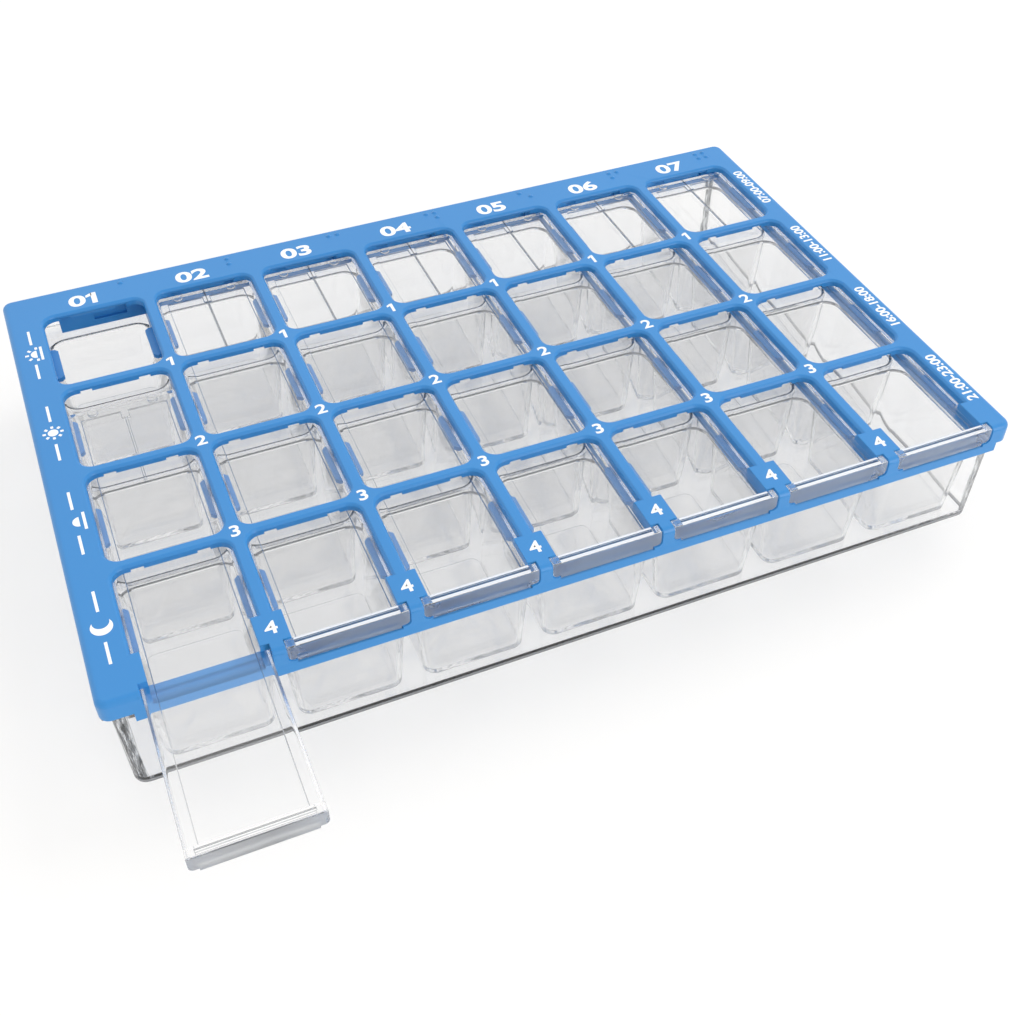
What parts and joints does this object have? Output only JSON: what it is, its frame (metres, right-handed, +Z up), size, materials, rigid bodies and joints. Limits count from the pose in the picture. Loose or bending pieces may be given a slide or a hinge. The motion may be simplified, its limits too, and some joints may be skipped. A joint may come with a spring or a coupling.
{
  "type": "weekly pill organizer",
  "caption": "Flat rectangular pill organizer: a clear tray of square tubs under a blue window frame, with a clear sliding lid over each day's column of tubs.",
  "frame": {"origin": "on the surface it stands on, under the middle of the frame's outline", "axes": "+Z up; -Y is the front, where the lids come out; +X runs from the first day to the last"},
  "size_m": [0.2292, 0.1929, 0.0334],
  "materials": {
    "blue_plastic": "moulded blue plastic, soft gloss",
    "clear_plastic": "moulded clear plastic, polished"
  },
  "bodies": {
    "case": {"base_tray": "clear_plastic", "top_frame": "blue_plastic", "tub_strip_sunday": "clear_plastic", "tub_strip_monday": "clear_plastic", "tub_strip_tuesday": "clear_plastic", "tub_strip_wednesday": "clear_plastic", "tub_strip_thursday": "clear_plastic", "tub_strip_friday": "clear_plastic", "tub_strip_saturday": "clear_plastic"},
    "sunday_lid": {"lid_sunday": "clear_plastic"},
    "monday_lid": {"lid_monday": "clear_plastic"},
    "tuesday_lid": {"lid_tuesday": "clear_plastic"},
    "wednesday_lid": {"lid_wednesday": "clear_plastic"},
    "thursday_lid": {"lid_thursday": "clear_plastic"},
    "friday_lid": {"lid_friday": "clear_plastic"},
    "saturday_lid": {"lid_saturday": "clear_plastic"}
  },
  "joints": [
    {"name": "sunday_slide", "type": "slide", "parent": "case", "child": "sunday_lid", "axis": [0, -1, 0], "range_m": [-0.0414, 0.0826]},
    {"name": "monday_slide", "type": "slide", "parent": "case", "child": "monday_lid", "axis": [0, -1, 0], "range_m": [0, 0.124]},
    {"name": "tuesday_slide", "type": "slide", "parent": "case", "child": "tuesday_lid", "axis": [0, -1, 0], "range_m": [0, 0.124]},
    {"name": "wednesday_slide", "type": "slide", "parent": "case", "child": "wednesday_lid", "axis": [0, -1, 0], "range_m": [0, 0.124]},
    {"name": "thursday_slide", "type": "slide", "parent": "case", "child": "thursday_lid", "axis": [0, -1, 0], "range_m": [0, 0.124]},
    {"name": "friday_slide", "type": "slide", "parent": "case", "child": "friday_lid", "axis": [0, -1, 0], "range_m": [0, 0.124]},
    {"name": "saturday_slide", "type": "slide", "parent": "case", "child": "saturday_lid", "axis": [0, -1, 0], "range_m": [0, 0.124]}
  ]
}
